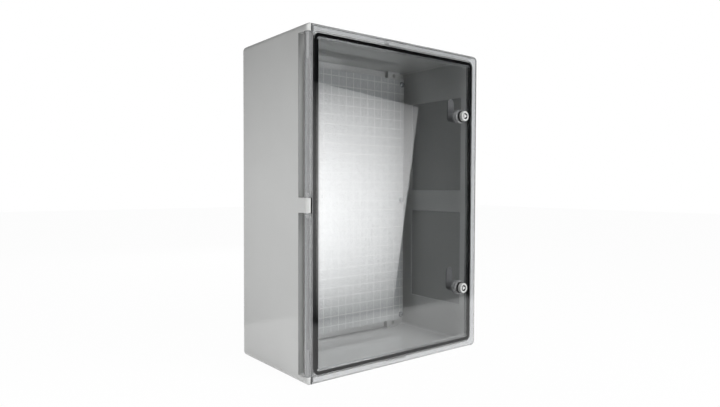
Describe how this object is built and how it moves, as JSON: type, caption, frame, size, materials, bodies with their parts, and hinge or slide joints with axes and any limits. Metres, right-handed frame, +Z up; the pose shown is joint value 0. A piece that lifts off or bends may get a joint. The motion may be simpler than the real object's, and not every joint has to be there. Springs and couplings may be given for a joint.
{
  "type": "electrical distribution box",
  "caption": "Wall-mounted moulded distribution box with a hinged clear door, foam gasket, quarter-turn locks and an inner mounting plate.",
  "frame": {"origin": "centre of the flat wall face at the back of the body", "axes": "+X to the right seen from the front, +Y into the wall, +Z up"},
  "size_m": [0.35, 0.201, 0.5],
  "materials": {
    "body": "moulded light grey ABS",
    "clear_door": "clear polycarbonate with a light grey tint",
    "gasket": "black foam rubber",
    "hinge_pin": "light grey polyamide",
    "lock_plastic": "light grey polyamide",
    "black_rubber": "black rubber",
    "dark_plastic": "dark grey polyamide",
    "zinc": "zinc-plated steel",
    "plate": "galvanised plate with a marked grid",
    "brass": "turned brass"
  },
  "bodies": {
    "enclosure": {"body_shell": "body", "hinge_pin_upper": "hinge_pin", "hinge_pin_middle": "hinge_pin", "hinge_pin_lower": "hinge_pin", "mounting_plate": "plate", "plate_screws": "zinc", "plate_washers": "zinc", "plate_inserts": "brass"},
    "door": {"door_panel": "clear_door", "door_gasket": "gasket", "upper_lock_housing": "lock_plastic", "upper_lock_seal": "black_rubber", "upper_lock_nut": "dark_plastic", "lower_lock_housing": "lock_plastic", "lower_lock_seal": "black_rubber", "lower_lock_nut": "dark_plastic"},
    "upper_lock": {"upper_lock_rotor": "lock_plastic", "upper_lock_o_ring": "black_rubber", "upper_lock_cam": "dark_plastic", "upper_lock_washer": "zinc", "upper_lock_screw": "zinc"},
    "lower_lock": {"lower_lock_rotor": "lock_plastic", "lower_lock_o_ring": "black_rubber", "lower_lock_cam": "dark_plastic", "lower_lock_washer": "zinc", "lower_lock_screw": "zinc"}
  },
  "joints": [
    {"name": "door_hinge", "type": "hinge", "parent": "enclosure", "child": "door", "pos_m": [-0.1703, -0.1853, 0], "axis": [0, 0, -1], "range_deg": [0, 170]},
    {"name": "upper_lock_turn", "type": "hinge", "parent": "door", "child": "upper_lock", "pos_m": [0.133, -0.19, 0.1445], "axis": [0, 1, 0], "range_deg": [0, 90]},
    {"name": "lower_lock_turn", "type": "hinge", "parent": "door", "child": "lower_lock", "pos_m": [0.133, -0.19, -0.1445], "axis": [0, 1, 0], "range_deg": [0, 90]}
  ]
}
